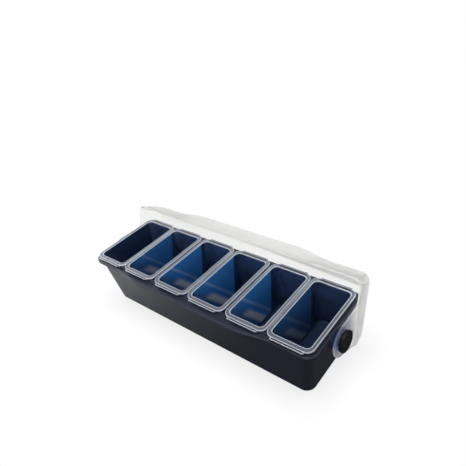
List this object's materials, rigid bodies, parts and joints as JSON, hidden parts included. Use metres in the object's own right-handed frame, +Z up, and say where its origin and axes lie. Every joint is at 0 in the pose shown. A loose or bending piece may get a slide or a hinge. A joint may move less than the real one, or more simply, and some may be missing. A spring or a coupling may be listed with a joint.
{
  "type": "condiment caddy",
  "caption": "Counter-top condiment caddy: a long tub holding a row of lift-out pans under one tip-back hood lid that turns on knobs at the ends.",
  "frame": {"origin": "centre of the tub's flat underside, on the surface it stands on", "axes": "+X along the row of pans towards the right end as seen from the front, -Y towards the front, +Z up"},
  "size_m": [0.4996, 0.186, 0.1425],
  "materials": {
    "tub_plastic": "satin moulded plastic, dark navy",
    "pan_plastic": "clear, with frosted flange",
    "lid_plastic": "milky translucent, smooth",
    "spacer_plastic": "satin, blue",
    "stud_steel": "turned",
    "knob_plastic": "satin, black"
  },
  "bodies": {
    "tub": {"tub": "tub_plastic", "left_spacer": "spacer_plastic", "right_spacer": "spacer_plastic"},
    "lid": {"lid": "lid_plastic"},
    "pan_1": {"pan_1": "pan_plastic"},
    "pan_2": {"pan_2": "pan_plastic"},
    "pan_3": {"pan_3": "pan_plastic"},
    "pan_4": {"pan_4": "pan_plastic"},
    "pan_5": {"pan_5": "pan_plastic"},
    "pan_6": {"pan_6": "pan_plastic"},
    "left_knob": {"left_knob": "knob_plastic", "left_stud": "stud_steel"},
    "right_knob": {"right_knob": "knob_plastic", "right_stud": "stud_steel"}
  },
  "joints": [
    {"name": "lid_hinge", "type": "hinge", "parent": "tub", "child": "lid", "pos_m": [0, 0, 0.0745], "axis": [1, 0, 0], "range_deg": [0, 113.5]},
    {"name": "pan_1_lift", "type": "slide", "parent": "tub", "child": "pan_1", "axis": [0, 0, 1], "range_m": [0, 0.02]},
    {"name": "pan_2_lift", "type": "slide", "parent": "tub", "child": "pan_2", "axis": [0, 0, 1], "range_m": [0, 0.02]},
    {"name": "pan_3_lift", "type": "slide", "parent": "tub", "child": "pan_3", "axis": [0, 0, 1], "range_m": [0, 0.02]},
    {"name": "pan_4_lift", "type": "slide", "parent": "tub", "child": "pan_4", "axis": [0, 0, 1], "range_m": [0, 0.02]},
    {"name": "pan_5_lift", "type": "slide", "parent": "tub", "child": "pan_5", "axis": [0, 0, 1], "range_m": [0, 0.02]},
    {"name": "pan_6_lift", "type": "slide", "parent": "tub", "child": "pan_6", "axis": [0, 0, 1], "range_m": [0, 0.02]},
    {"name": "left_knob_turn", "type": "hinge", "parent": "tub", "child": "left_knob", "pos_m": [-0.2438, 0, 0.0745], "axis": [-1, 0, 0], "range_deg": [0, 720]},
    {"name": "right_knob_turn", "type": "hinge", "parent": "tub", "child": "right_knob", "pos_m": [0.2438, 0, 0.0745], "axis": [1, 0, 0], "range_deg": [0, 720]}
  ]
}
